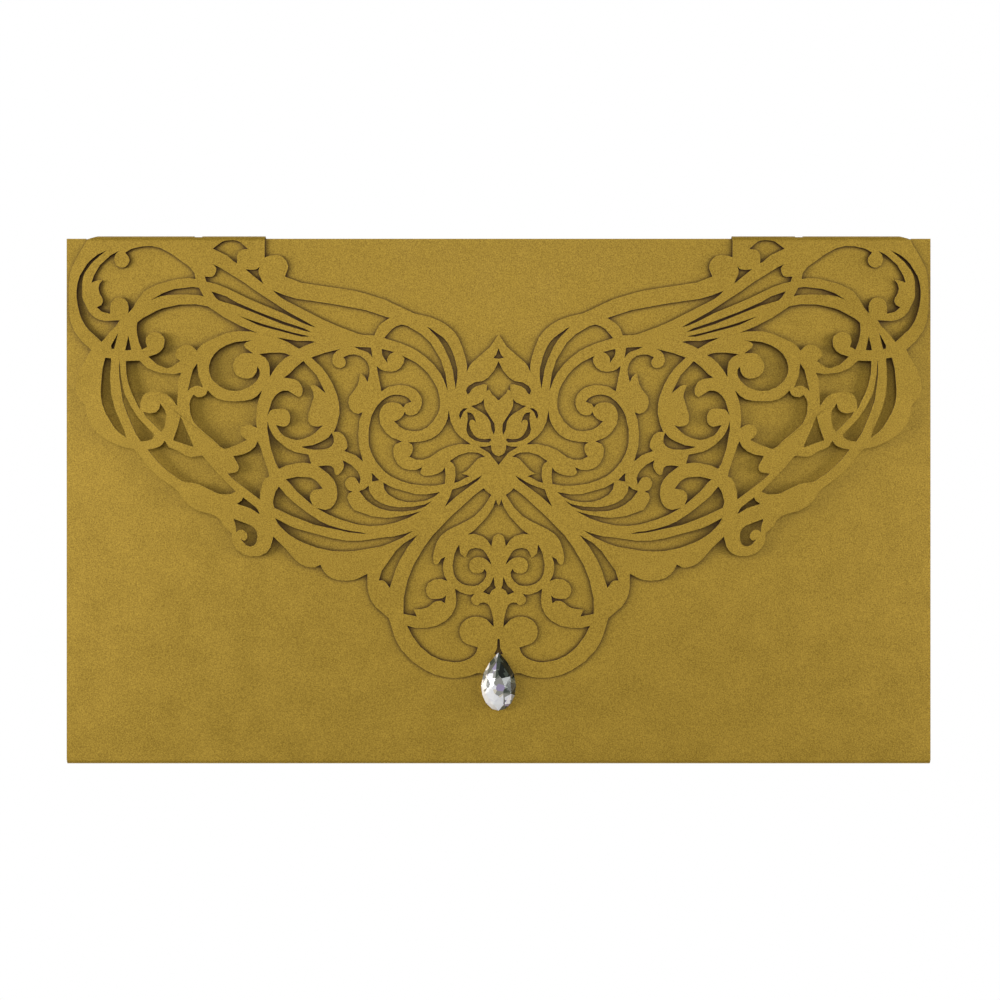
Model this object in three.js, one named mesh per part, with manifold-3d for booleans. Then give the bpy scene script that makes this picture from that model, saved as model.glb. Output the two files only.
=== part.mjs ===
import * as THREE from 'three';
import Module from 'manifold-3d';
import { ConvexGeometry } from 'three/addons/geometries/ConvexGeometry.js';
import { mergeVertices } from 'three/addons/utils/BufferGeometryUtils.js';

// A folded invitation lying on its back: a gold card pocket with a cut filigree flap over its front.
// X runs along the width, Y points to the top fold, Z points up. Millimetres.

// The folded card
const PANEL_WIDTH = 198;
const PANEL_HEIGHT = 120.5;
const CARD = 0.35;
const FOLD_PROUD = 0.5;
const TAB_WIDTH = 13;
const TAB_TAPER = 4;
const TAB_CORNER_GAP = 3;
const MOUTH_SETBACK = 0.12;
const BOTTOM_FOLD_SETBACK = 0.05;
const FOLD_STEPS = 8;
const TONGUE = 1;

// What the pocket holds
const INSERT_THICKNESS = 0.4;
const INSERT_SIDE_GAP = 4;
const INSERT_END_GAP = 2.9;
const TAB_CLEARANCE = 0.2;
const ADHESIVE = 0.1;
const ADHESIVE_WIDTH = 8;
const ADHESIVE_END_GAP = 4;

// The flap
const FLAP_CLEARANCE = 0.4;
const FLAP_DROP = 100.35;
const FLAP_SIDE_MARGIN = 0.7;
const FLAP_LIFT = 2;
const CUT_TOLERANCE = 0.1;
const CURVE_STEPS = 8;

// The stone
const STONE_WIDTH = 8;
const STONE_LENGTH = 13.3;
const STONE_HEIGHT = 2.9;
const STONE_OVERLAP = 6.3;
const GLUE_DIAMETER = 3.4;
const GLUE_MARGIN = 1.2;
const GLUE_THICKNESS = 0.1;

// Heights of the layers, from the table up
const TAB_BOTTOM = CARD + INSERT_THICKNESS + TAB_CLEARANCE;
const TAB_TOP = TAB_BOTTOM + CARD;
const FRONT_BOTTOM = TAB_TOP + ADHESIVE;
const FRONT_TOP = FRONT_BOTTOM + CARD;
const FLAP_BOTTOM = FRONT_TOP + FLAP_CLEARANCE;
const FLAP_TOP = FLAP_BOTTOM + CARD;

// Radii and places of the folds
const SIDE_RADIUS = TAB_TOP / 2;
const BOTTOM_RADIUS = FRONT_TOP / 2;
const TOP_RADIUS = FLAP_TOP / 2;
const CROWN_Y = (PANEL_HEIGHT + FOLD_PROUD) / 2;
const TOP_EDGE_Y = CROWN_Y - FOLD_PROUD;
const HINGE_Y = CROWN_Y - TOP_RADIUS;
const BOTTOM_FOLD_Y = -CROWN_Y + BOTTOM_RADIUS;
const SIDE_FOLD_X = PANEL_WIDTH / 2 - SIDE_RADIUS;

// The flap's cutting pattern for one half of the sheet. Each number pair is the distance from the middle line
// and the distance below the card's plain top edge. A run starts at a sharp corner of the cut and goes smoothly
// to the next run's corner.
const TOP_EDGE_RUNS = [
  [53.5, -0.05],
  [53.5, 3.75, 52.8, 3.4, 51.5, 3.2, 50, 3.3, 49, 4, 48.3, 5, 48.1, 6, 48.5, 7.2],
  [48.9, 8.1, 48, 8.4, 46, 9.3, 44, 9.7, 42, 10, 40, 10.3, 37, 10.8, 33, 11.35, 29.5, 12.3, 26.5, 13.2,
    23.5, 14.5, 21.3, 15.6, 19.4, 16.5, 17, 17, 14, 18, 11.2, 19.8, 9.4, 21.8, 8.2, 24.6, 7.4, 27.4, 7.2, 28.7],
  [7.3, 30.05, 6.6, 28.5, 5.7, 27.4, 3.8, 25.8, 1.9, 24.2, 0.9, 22.8],
  [0, 21.3],
];

const LOWER_EDGE_RUNS = [
  [94.2, -0.05, 95.2, 1.7, 96, 2.9, 97, 4.8, 97.7, 6.3, 98.2, 8.5, 98.3, 11, 98.3, 14, 98, 17.5, 97.1, 20.2,
    95.2, 22.9],
  [92.9, 25, 94.2, 27.5, 95.5, 30, 96.1, 32.8, 96, 35, 95, 36.7],
  [93.8, 37.8, 93.5, 40.3, 92.8, 42, 91.5, 43.8, 89, 45.6, 86.5, 46.8, 84.6, 47.4],
  [82.9, 47.7, 81.8, 48.8, 80.7, 50.3, 79.6, 51.8, 78.2, 53.2, 76.7, 54.5, 75.2, 55.6, 73.9, 56.4],
  [72.8, 57.4, 72.2, 58.6, 71.3, 59.8, 70, 60.9, 68.5, 61.7, 67, 62.2, 65.5, 62.5, 64.2, 63.1, 63.2, 64],
  [62.5, 65.4, 61.6, 66.1],
  [60.8, 66.9, 60.7, 67.9, 60.6, 68.9, 60.2, 69.9, 59.5, 70.8, 58.4, 71.6, 57, 72.1, 55.6, 72.2, 54.2, 72,
    53, 71.4, 52.2, 70.5, 51.7, 69.3],
  [51.35, 67.7, 50.6, 68.4, 49.6, 69.4, 48.5, 70.5, 47.4, 71.8, 46.4, 73, 45.3, 73.9, 44.1, 74.5, 42.8, 74.8,
    41.8, 74.7],
  [40.7, 74.1, 40.2, 75.2, 39.4, 76.3, 38.3, 77.1, 37, 77.6, 35.5, 77.8, 34, 77.8, 32.6, 77.5, 31.3, 76.9],
  [30, 76.2, 30.1, 77.5, 30.05, 79, 29.8, 80.5, 29.3, 82, 28.5, 83.4, 27.4, 84.5, 26.2, 85.4],
  [25.1, 86.4, 24.8, 87.6, 24.4, 89, 23.9, 90.4, 23.2, 92, 22.2, 93.7, 21, 95.1, 19.5, 96.5, 17.9, 97.6,
    16.2, 98.6, 14.4, 99.4, 12.4, 99.9, 10.3, 100.1, 8.3, 100, 6.5, 99.6, 4.9, 99, 3.6, 99.1, 2.4, 99.6, 1.2, 100.2],
  [0, 100.5],
];

// Openings that lie beside the middle line; the other half has their mirror image.
const SIDE_OPENINGS = [
  // Shoulder leaf at the top corner, with the two rim crescents
  [[69.3, 8.7, 69.5, 7.5, 70, 6.6, 70.8, 5.8, 72, 5, 73.7, 3.7, 75, 2.8, 77, 1.7, 78.7, 1.2, 80.3, 1.1,
    82.7, 1.4, 84.3, 1.9],
  [85.4, 2.6, 84.7, 3.4, 84.4, 4.4, 84.8, 5.4, 85.6, 6, 86.6, 6.05, 87.5, 5.5, 87.95, 4.5, 87.8, 3.4, 87.4, 2.7],
  [86.8, 2.2, 88.7, 3.2, 90, 4.4, 91.2, 5.5, 92, 6.8, 92.7, 8.2],
  [93.1, 9.5, 91.7, 9],
  [90.5, 8.9, 91.2, 9.7, 91.5, 10.8, 91.2, 12, 90.6, 13, 90.4, 13.8, 90.8, 14.7],
  [91.8, 15.2, 90.7, 16.2, 89.7, 16.5],
  [88.7, 16.7, 88.8, 15.5, 88.5, 14.1, 87.7, 13.2, 86.6, 12.85, 85.5, 13.2, 84.7, 14.2, 84.5, 15.4],
  [84.6, 16.6, 83.5, 15.3, 82.7, 13.8, 81.8, 12.5, 81, 11.5, 79.5, 10.7, 78.2, 10, 76.7, 9.5, 75, 9.1,
    73.7, 8.7, 72, 8.5, 70.6, 8.45]],
  [[89.7, 2.1, 91.2, 2.75, 92.3, 3.5, 93.7, 4.7, 94.8, 6.2, 95.7, 7.7, 96.25, 9.5, 96.5, 11.3, 96.4, 13.3,
    96, 15.5, 95.3, 17.7, 94.3, 19.5, 93, 21, 91.7, 22.2],
  [90.5, 23.2, 89.3, 21.7, 88.3, 20.5, 87.3, 19.5],
  [86.5, 18.2, 88.7, 18.4, 90.3, 18.3, 92, 17.7, 93.5, 16.3, 94.3, 14.7, 95.1, 13, 95.2, 10.7, 95.1, 8.7,
    94.5, 7, 93.3, 5.3, 91.7, 3.7]],
  [[67.4, 12.7, 68, 11.7],
  [68.5, 10.7, 69.3, 10.5, 71, 10.6, 73.7, 10.9, 75, 11.25, 76.5, 11.8, 77.8, 12.5, 79, 13.2],
  [79.6, 13.6, 77.7, 12.8, 76, 12.4, 74, 12.3, 72, 12.2, 70, 12.3, 68.3, 12.4]],

  // Broad leaf below the shoulder
  [[55, 21.1, 57.7, 20, 59.3, 19.3, 61, 18.3, 62.7, 17.5, 64, 16.7, 65.2, 15.8, 66.4, 15, 67.7, 14.7,
    69.3, 14.5, 72, 14.5, 73.7, 14.7, 75.3, 15.1, 77, 15.5, 78.7, 16.3, 80.3, 17.2, 81.7, 18],
  [82.5, 18.75, 82.6, 20.2, 82.4, 21.8, 82, 23.3],
  [81.3, 25],
  [80.1, 24.3, 80.5, 23.2, 80.3, 22, 79.5, 21.2, 78.3, 20.9, 77.1, 21.3, 76.3, 22.2, 76.1, 23.4, 76.5, 24.7,
    77.6, 25.8],
  [79.8, 26.6, 79.1, 27.3, 78.2, 28.1, 77, 28.8, 75.5, 29.25, 74.5, 29, 73.3, 28.2],
  [72.5, 27.6, 73.3, 27, 73.75, 26.2, 73.5, 25.3, 72.5, 24.2, 71, 23.8, 70, 24.1],
  [68.8, 25.2, 67.7, 23.8, 66, 22.8, 64.3, 22, 62.7, 21.3, 60.3, 20.75, 58, 20.7, 56.3, 20.8]],

  // Scrolls along the outer side
  [[81.8, 27.5, 83.3, 27.6],
  [84.9, 27.6, 84.75, 30.3, 84.4, 32, 83.8, 34, 83, 35.8, 82.2, 37.3],
  [81.6, 38.7, 81.5, 37.5, 81.2, 36.2, 80.5, 35.1, 78.7, 34.7, 76.8, 34.8, 75.3, 35.3, 74.2, 36.3],
  [73.1, 37.9, 73, 36.2, 72.9, 33.7, 72.8, 31.5],
  [72.2, 30.3, 73.7, 30.6, 75, 30.5, 77, 30.3, 78.7, 29.8, 80, 29.2, 80.8, 28.5]],
  [[76.9, 37.3, 77.2, 38.6, 77.8, 39.25, 79.2, 39.6],
  [80.8, 39.2, 80.3, 40.2, 79.2, 41.3, 77.8, 42.7],
  [76.7, 43.8, 76.1, 43, 75.6, 41.2, 75.6, 39.5, 76.2, 38.3]],
  [[84.45, 21.8, 84.9, 23.7], [85.1, 25.15], [83.7, 25.05, 84.2, 23.3]],
  [[86.8, 21.1, 87.8, 23.2, 88.4, 24.2], [88.2, 24.8], [87.6, 24.8, 87.4, 23.5]],
  [[86.3, 27.3, 86.4, 29, 86.3, 31.3, 86, 33.7, 85.6, 36.2, 85, 38.2, 84.1, 40.5, 83.1, 42.8, 82.2, 44.8],
  [81.3, 46, 79.8, 45.8, 78.7, 45.3],
  [78.2, 44.5, 79.5, 43.2, 81, 41.7, 82.3, 40, 83.5, 38.2, 84.3, 36.7, 85.2, 34.7, 85.7, 32.3, 86.1, 30.3]],
  [[88.25, 27],
  [89.6, 26.8, 90, 28.3, 90.25, 30, 90.4, 32.3, 90.5, 35, 90.2, 37.2, 89.5, 39.2, 88.3, 41.2, 87, 43.3],
  [84.7, 45.1, 85, 43.8, 85.8, 42, 86.8, 39.7, 87.7, 37, 88.2, 34.7, 88.4, 32, 88.4, 29]],
  [[72.3, 40.2, 72.75, 42, 73.3, 43.7],
  [74, 45.7, 72.5, 46.3],
  [69.3, 47.3, 70.2, 45.2, 71.3, 42.7]],

  // Feathered wing below the hinge
  [[54.6, 5.8, 55.3, 6.4, 56.5, 6.6],
  [58, 6.4, 56.8, 7.3, 55.7, 8.3],
  [53.8, 9.8, 54.3, 8.8, 54.8, 7.7, 54.9, 6.7]],
  [[65.25, 5.3, 64.6, 6, 64.7, 7.2, 65.2, 8, 66, 8.25],
  [67.2, 8.1],
  [66.8, 9.3, 65, 9.7, 63, 10.4, 61, 11.3, 59, 12.3, 57, 13.3, 55, 14.1, 53, 15, 51, 15.8, 48.5, 16.9,
    46.5, 18, 44.5, 18.9, 43, 19.5],
  [41.7, 19.8, 43, 19, 44.5, 18.2, 46, 17.45, 47.7, 16.5, 49.3, 15.5, 51, 14.3, 52.7, 13.2, 54.3, 12.2,
    56, 11.1, 57.7, 9.8, 59.3, 8.8, 61, 7.7, 62.7, 6.7, 64, 5.9]],
  [[65.7, 11.5, 65.2, 12.3, 64.2, 13.5, 62.7, 14, 60, 14.8, 58, 15.7, 55, 16.9, 52, 18.1, 49, 19.2,
    46, 20.1, 44, 20.7],
  [42.8, 20.9, 44, 20.2, 46, 19.5, 49, 18.5, 52, 17.3, 55, 16.2, 58, 14.8, 60, 14, 62, 12.8, 64, 12.1]],
  [[59.3, 17.2, 57, 18.3, 55, 19.25, 52, 20.15, 49, 21, 46, 21.7, 44.5, 22],
  [43, 21.9, 44.5, 21.5, 46, 21.2, 48, 20.7, 51, 19.8, 54, 19, 56, 18.3, 58, 17.7]],
  [[51.6, 11.3, 51, 11.9, 50, 12.8, 48, 14, 46, 15, 44.5, 15.8, 43, 16.5, 41.2, 17.5, 39.7, 18.2, 38, 18.9,
    36.5, 19.6, 34.7, 20.2, 33, 20.9, 31.5, 21.4, 30, 21.55],
  [28.4, 21.6, 28.1, 20.7, 27.6, 19.7, 27, 19, 26, 18.3],
  [24.9, 17.6, 26, 17.2, 28, 16.5, 30, 15.9, 32, 15.5, 34, 15.1, 36, 14.75, 38, 14.4, 40, 14.1, 42, 13.8,
    44, 13.55, 46, 13.25, 48, 12.7, 50, 12]],
  [[50.7, 22.1, 48.5, 23, 47, 23.8],
  [45.6, 24.7, 44.5, 24.1, 43.3, 23.6],
  [41.9, 23.1, 43, 22.9, 44.5, 22.95, 46, 22.9, 48.5, 22.4]],

  // Round scroll beside the broad leaf
  [[56.3, 22.8, 58, 22.9, 59.7, 23.1, 61.3, 23.6, 63, 24.4, 64.3, 25.4, 65.3, 26.7, 65.9, 28.2, 66, 29.4,
    65.7, 30.8, 65, 32.1, 64, 33, 62.7, 33.9, 61, 34.4, 59.3, 34.4, 57.7, 33.9, 56.2, 33.1, 55.1, 32,
    54.5, 30.8, 54.5, 29.7],
  [55, 28.8, 55.2, 30, 56, 31.2, 57, 31.6, 58.3, 31.5, 59.7, 30.8, 60.4, 29.7, 60.5, 28.3, 60, 27, 59, 26,
    58, 25.7],
  [56, 25.8, 57, 25.1, 57.8, 24.5, 58.1, 23.8, 57.5, 23.2]],
  [[47.6, 26.2, 49, 25.7, 51, 25.6, 53.2, 25.75],
  [54.7, 25.95, 53.3, 26.75, 52.5, 27.8, 52.2, 29.2],
  [52.2, 31.2, 51.2, 29.5, 50, 28, 48.7, 26.8]],
  [[68.7, 28.1, 69.5, 29.3, 70, 31, 70.4, 32.8],
  [70.75, 34.5, 70, 33.75, 69, 33.3, 68.2, 33.3],
  [67.25, 33.7, 67.8, 32.3, 68.4, 30.7, 68.5, 29.2]],
  [[53.9, 34.25, 55, 35.5, 56.2, 36.3, 58, 36.7, 60.2, 36.8, 62.3, 36.7, 64, 36.2, 65.3, 35.3],
  [66.2, 34.3, 66.6, 35.3, 67.5, 35.8, 68.5, 35.9],
  [69.4, 35.3, 70.2, 36.7, 70.25, 38.3, 70, 40, 69.2, 41.7, 67.8, 43.2, 66.3, 44.5, 64.8, 45.7, 63.3, 47.2],
  [62.3, 47.7, 60.7, 47.2, 59, 46.5],
  [57.3, 45.6, 58.1, 45.1, 58.75, 44.1, 58.75, 42.9, 57.9, 42.2, 56.6, 42.1],
  [55.1, 42.9, 55.25, 41.7, 55.2, 39.5, 55, 37.5, 54.5, 35.8]],
  [[44.6, 27.5, 45.7, 28.4, 46.7, 29.3, 47.8, 30.5],
  [49, 31.3, 47.6, 31.5, 46.4, 31.75, 45.5, 32.3, 45, 33.1, 44.7, 34.2, 44.9, 35.3, 45.6, 35.8, 46.3, 35.4,
    47, 34.9, 48, 34.35, 49.3, 34.35, 50.7, 35.2, 51.7, 36.7, 52.25, 38.3],
  [52.7, 40.1, 51.9, 38.8, 51, 38.5, 49.3, 38.4, 48.2, 38.8, 47.6, 39.8, 47.5, 40.8, 47.9, 42, 49, 42.6],
  [50.8, 42.2, 50.2, 43.3, 49.2, 44.5, 47.7, 45.25, 46, 45.6, 44.5, 45.3, 43.2, 44.8, 42, 44, 41, 43.1],
  [40.1, 42.2, 41, 42.5, 42, 42.5, 43, 42.1, 43.5, 41.2, 43.5, 40, 43.2, 38.8, 42.8, 37.7, 42.4, 36.6,
    42.2, 35.6, 42.4, 34.6, 42.9, 33.6],
  [43.1, 33, 42.2, 33, 41.4, 33.3, 40.6, 33.9],
  [39.5, 34.9, 40.1, 33.7, 40.7, 32.6, 41.3, 31.2, 42, 30.2, 43, 29.1, 43.8, 28.3]],
  [[52.7, 41.3, 52.75, 42.8, 52.5, 44.5, 52.2, 46.2, 51.8, 48, 51.3, 49.5, 50.8, 51],
  [50.1, 52.2, 49.2, 51.7, 48, 51.3, 46.5, 50.95, 45, 50.75, 44, 50.8],
  [42.8, 51, 43.1, 50],
  [43.4, 48.95, 44.5, 48.8, 46, 48.5, 47.5, 47.9, 48.8, 47.1, 50, 46.1, 51, 45.1, 51.8, 43.9, 52.4, 42.5]],

  // Side of the lower leaf
  [[54.9, 45.9, 55.3, 46.9, 56.1, 47.8, 57.2, 48.5, 58.5, 49],
  [60.4, 49.3, 60.1, 50, 59.5, 50.8, 59.15, 51.8, 59.4, 52.7, 60.3, 53.15],
  [61.7, 53.3, 61, 54.1, 59.8, 55.1, 58.3, 56.2, 56.8, 57.4, 55.6, 58.4],
  [54.4, 59.2, 54.4, 58, 54.1, 56.6, 53.7, 55.3, 53.2, 54.4],
  [52.3, 53.9, 52.4, 53, 52.9, 51.7, 53.3, 50.4, 53.8, 49, 54.2, 47.7, 54.5, 46.7]],
  [[67.4, 49.2, 68.5, 49.35, 70, 49.5, 71.3, 49.1, 72.5, 48.3, 73.8, 47.7, 75, 47.3],
  [75.9, 45.8, 76.6, 46.8, 77.6, 47.35, 78.6, 47.65],
  [79.8, 47.8, 79, 48.8, 77.8, 50.3, 76.5, 51.6, 75, 52.9, 73.5, 54, 72, 55, 71, 55.3, 69.5, 55.4, 68, 55.8,
    66.5, 56.5, 65.2, 57.2, 63.7, 57.9, 62, 58.1, 60.7, 57.9],
  [59.8, 57.4, 61, 56.2, 62.2, 55, 63.5, 53.7, 64.7, 52.3, 65.6, 51.2, 66.5, 50.2]],
  [[40.2, 56.7, 40.8, 55.8, 41.8, 54.8, 43, 54.2, 44.5, 54, 46.2, 54],
  [48.6, 54.6, 47.8, 55.3, 46.8, 56.6, 45.6, 57.8, 44.4, 58.9],
  [42.4, 60.6, 42.9, 59.7, 43.1, 58.7, 42.9, 57.8, 42.3, 57.1, 41.4, 56.85]],
  [[50.1, 56.2, 50.8, 57.2, 51.2, 58.6, 51.45, 59.9],
  [51.1, 61.1, 49.5, 61.8, 47.8, 62.7, 46, 63.45, 44.2, 64.1, 42.3, 64.9, 40.2, 65.4, 38, 65.95, 35.8, 66.4,
    33.5, 66.85, 31.5, 67.05],
  [29.9, 67.15, 31.5, 66.7, 33.5, 66.45, 35.5, 66.05, 37.3, 65.55, 39, 65, 40.7, 64.2, 42.3, 63.2, 44, 62,
    45.5, 60.8, 47, 59.6, 48.5, 58.2]],
  [[58.2, 58.7, 58.5, 59.4, 59, 59.8],
  [59.6, 60.2, 58.2, 60.7, 57, 61, 56, 61.5, 55.2, 62.1],
  [54.4, 62.6, 54.9, 61.5, 55.5, 60.8, 56.5, 60.1, 57.3, 59.5]],
  [[60.3, 63.6, 59, 64.1, 57.7, 64.6, 56.4, 65.1, 55.5, 65.9, 55, 67, 55, 68.3, 55.4, 69.4, 56.4, 69.9,
    57.5, 69.65],
  [58.8, 68.2, 57.9, 68.6, 57.35, 68.2, 57.15, 67.5, 57.5, 66.7, 58.2, 66.15, 58.9, 66.1],
  [59.7, 66.6, 59.8, 65.4]],

  // Lower sweep with its three long crescents
  [[19.4, 66.3, 21, 66.9, 22.5, 67.3, 24, 67.7, 25.5, 67.8, 27, 68, 28.5, 68.3, 30, 68.5, 32, 68.7, 34, 68.7,
    36, 68.5, 38, 68.1, 40, 67.5, 42, 66.9, 44, 66.4, 46, 65.9, 47.5, 65.3, 49, 64.5],
  [51, 63.45, 50.2, 64.9, 49.2, 66, 48, 67.1, 46.5, 68.1, 45, 68.9, 43, 69.7, 41, 70.4, 39, 70.85, 37, 71.05,
    35, 71.1, 33, 71, 31, 70.75, 29, 70.4, 27, 69.95, 25, 69.3, 23.2, 68.5, 21.3, 67.6]],
  [[18.5, 67.3, 19.8, 68, 21.2, 68.9, 22.5, 69.9, 23.7, 71.2, 24.9, 72.8, 26, 74.4, 26.9, 75.9],
  [27.4, 77.8, 26.6, 77.7, 25.9, 78.1],
  [24.9, 79.5, 24.5, 78.3, 24.1, 77, 23.6, 75.4, 22.9, 73.7, 22.1, 72.2, 21.2, 70.7, 20.2, 69.3, 19.3, 68.3]],
  [[13.4, 57.5, 14.7, 57.8, 16, 58, 17.5, 58.1, 19, 58, 20.5, 57.6, 22, 57.2, 23.3, 56.8, 24.5, 56.4,
    25.5, 55.9],
  [26.4, 55.3, 26.3, 56.4, 25.9, 57.3, 25.2, 58.1, 24.1, 58.8, 22.7, 59.4, 21, 59.8, 19.5, 59.85, 18, 59.7,
    16.5, 59.4, 15.3, 58.9, 14.3, 58.3]],
  [[29.05, 53, 28.9, 53.7, 28.9, 54.4], [29, 55.1, 28.3, 54.95], [27.3, 54.8, 28, 54.2, 28.6, 53.5]],
  [[29.7, 56, 30.3, 56.6, 31, 57],
  [31.9, 57.25, 31.3, 57.9, 30.8, 58.7, 30.2, 59.4, 29.3, 60.1, 28.2, 60.8, 26.8, 61.4, 25.2, 61.8,
    23.4, 61.95, 21.5, 61.95, 19.8, 61.8, 18.2, 61.4, 16.6, 60.7],
  [15.1, 59.4, 16.5, 60.2, 18, 60.6, 19.8, 60.9, 21.6, 61, 23.4, 60.95, 25.1, 60.65, 26.7, 60.1, 28.1, 59.3,
    29.1, 58.2, 29.6, 57.1]],
  [[41.2, 51.6, 40.3, 52.3, 39.3, 53, 38.4, 53.8, 37.6, 54.8, 37.1, 55.9, 36.85, 57.1, 36.85, 58.3,
    37.1, 59.4, 37.6, 60.4, 38.4, 61.2, 39.4, 61.6],
  [41.7, 61.1, 40.3, 61.9, 38.8, 62.7, 37.2, 63.4, 35.5, 64, 33.6, 64.6, 31.6, 65.05, 29.5, 65.25, 27.4, 65.2,
    25.3, 64.9, 23.3, 64.4, 21.3, 63.7, 19.4, 62.8],
  [17.55, 61.8, 19, 62.3, 20.7, 62.7, 22.5, 63, 24.4, 63.35, 26.3, 63.4, 28.2, 63.2, 30, 62.75, 31.6, 62.2],
  [33.1, 61.6, 33.7, 60.7, 34.3, 59.7, 34.6, 58.6, 34.3, 57.8],
  [33.4, 57.35, 34.3, 57.1, 34.9, 56.4, 35.15, 55.5, 34.9, 54.7, 34.2, 54.1, 33.3, 54, 32.6, 54.4, 32.2, 55.1],
  [31.8, 55.75, 31.55, 54.7, 31.8, 53.6, 32.3, 52.7, 33, 51.9, 33.8, 51.2, 34.7, 50.7],
  [35.65, 50.2, 35.3, 51.2, 35.5, 52.2, 36, 53, 36.7, 53.6, 37.3, 53.5, 37.6, 52.9, 37.7, 52, 38.3, 51.5,
    39.5, 51.4]],
  [[38.1, 43.9, 38.7, 44.8, 39.6, 45.5, 40.8, 46.1, 42.2, 46.7, 43.5, 47],
  [45.1, 47.15, 43.7, 47.6, 42.2, 47.8, 40.7, 47.8, 39.3, 47.6, 38.2, 47, 37.65, 46.1, 37.7, 45]],

  // Inner leaves and the large spiral
  [[36.1, 24.7, 37.3, 25, 38.7, 25.4, 40, 25.7, 41.3, 26.2],
  [42.8, 26.7, 42, 27.4, 41.2, 28.2, 40.3, 29.1, 39.6, 30, 38.9, 31, 38.3, 32, 37.8, 33, 37.4, 34, 37, 35,
    36.7, 36, 36.45, 37.2, 36.35, 38.4, 36.35, 39.4, 36.5, 40.4, 36.8, 41.6, 37.2, 42.8],
  [37.7, 43.8, 36.7, 43.7, 35.8, 44.1, 35, 45.1, 34.6, 46.2, 34.55, 47.2],
  [35.3, 48.1, 34, 48.55, 32.8, 49, 31.9, 49.7],
  [31, 50.5, 31.4, 49.2, 31.8, 47.8, 32.05, 46.4, 32.1, 45, 32.1, 43.4, 31.95, 41.9, 31.7, 40.5],
  [31.1, 39.2, 32, 39.6, 32.9, 39.45, 33.7, 38.8, 34.2, 37.9, 34.35, 36.8, 34.2, 35.8, 33.6, 35, 32.9, 34.1,
    32.3, 33.1, 31.9, 32, 31.75, 31],
  [31.6, 30.2, 30.9, 30.7, 30.4, 31.3],
  [30, 32.3, 29.7, 31.2, 29.5, 30, 29.6, 28.8, 30, 27.8, 30.7, 26.9, 31.6, 26.3, 32.7, 26, 34, 26],
  [35.5, 26.6, 35, 27.3, 34.9, 28, 35.2, 28.7, 36, 29.1, 36.9, 29, 37.6, 28.5, 38, 27.6, 38, 26.7,
    37.6, 25.8, 36.9, 25.1]],
  [[33, 24.2, 32, 24.75, 31, 25, 30, 25.4, 29.3, 26],
  [28.8, 26.8, 29, 25.5],
  [29.2, 24.4, 30.3, 24.4, 31.5, 24.3]],
  [[23.9, 25.4, 24.7, 25.1, 25.7, 24.9],
  [26.7, 24.7, 26.7, 25.6, 26.4, 26.6, 26, 27.2],
  [25.4, 28, 25.5, 27.1, 25.2, 26.3, 24.7, 25.8]],
  [[22.1, 26.2, 21, 26.8, 19.7, 27.3, 18.4, 28.2, 17.2, 29.2, 16.2, 30.2, 15.4, 31.3, 14.7, 32.4, 14.1, 33.5,
    13.7, 34.8, 13.45, 36.2, 13.4, 37.6, 13.6, 38.9, 14.1, 40, 14.8, 41.1, 15.7, 42.1, 16.7, 42.9,
    17.9, 43.4, 19.3, 43.55, 20.7, 43.4, 21.9, 43, 22.9, 42.3],
  [23.9, 41.3, 23, 41, 22.3, 40.5, 21.8, 39.9],
  [21.4, 39, 21.2, 39.6, 20.4, 39.95, 19.5, 39.9, 18.7, 39.5, 18.1, 38.8, 17.7, 38, 17.5, 37, 17.6, 36,
    18, 35.2, 18.6, 34.4, 19.4, 33.8, 20.5, 33.3, 21.7, 33, 23, 32.95, 24.2, 33.1, 25.5, 33.5],
  [26.8, 34.4, 27.1, 33, 27.3, 32, 27.4, 31, 27.55, 30],
  [27.9, 28.6, 27, 29.4, 26, 29.8, 24.8, 29.95, 23.6, 29.8, 22.7, 29.3, 22, 28.5, 21.6, 27.6, 21.55, 26.8]],
  [[19.9, 36.8, 20.6, 36, 21.5, 35.5, 22.7, 35.2, 24, 35.2, 25.3, 35.6, 26.5, 36.4, 27.6, 37.5, 28.4, 38.7,
    29.1, 40.2, 29.5, 41.8, 29.75, 43.5, 29.8, 45.2, 29.6, 46.9, 29.1, 48.5, 28.4, 50, 27.4, 51.4,
    26.2, 52.7, 24.8, 53.8, 23.2, 54.6, 21.4, 55.3, 19.4, 55.75, 17.2, 56, 15.2, 56.05, 13.6, 55.9],
  [12.3, 55.6, 12.15, 54.3, 12.15, 53],
  [12.3, 51.8, 12.8, 52.6, 13.7, 53.2, 14.8, 53.6, 16.2, 53.8, 17.3, 53.7, 17.9, 53.1],
  [17.5, 51.8, 18.4, 52.3, 19.4, 52.5, 20.6, 52.45, 21.8, 52.1, 22.9, 51.3, 23.7, 50.1, 24.1, 48.8, 24.1, 47.5,
    23.6, 46.5],
  [22.1, 45.9, 23.3, 45.5, 24.6, 44.9, 25.7, 44, 26.6, 42.8, 27.2, 41.4, 27.3, 40, 27, 38.6, 26.3, 37.6,
    25.3, 37, 24.1, 36.9, 23, 37.1, 22.3, 37.5],
  [21.8, 38.1, 21.4, 37.4, 20.7, 37]],
  [[11.4, 38.7, 11.6, 40.3, 11.9, 41.4, 12.5, 42.6, 13.3, 43.7, 14.3, 44.6, 15.5, 45.3, 17, 45.8, 18.7, 46.05],
  [20.6, 46.1, 19.8, 46.6, 19.55, 47.4, 19.75, 48.4],
  [20.4, 49.4, 19.3, 49.95, 18, 50.15, 16.6, 49.9, 15.4, 49.4, 14.3, 48.5, 13, 47.7, 11.6, 47.1, 10, 46.65,
    8.3, 46.45],
  [6.3, 46.6, 7.6, 45.6, 8.8, 44.8, 9.8, 43.7, 10.5, 42.5, 11, 41.2, 11.2, 40]],
  [[16.4, 19.6, 15.7, 20.3, 14.7, 21.3, 13.8, 22.3, 13, 23.4, 12.4, 24.6, 11.9, 25.8, 11.3, 27, 10.8, 28.5,
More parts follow.
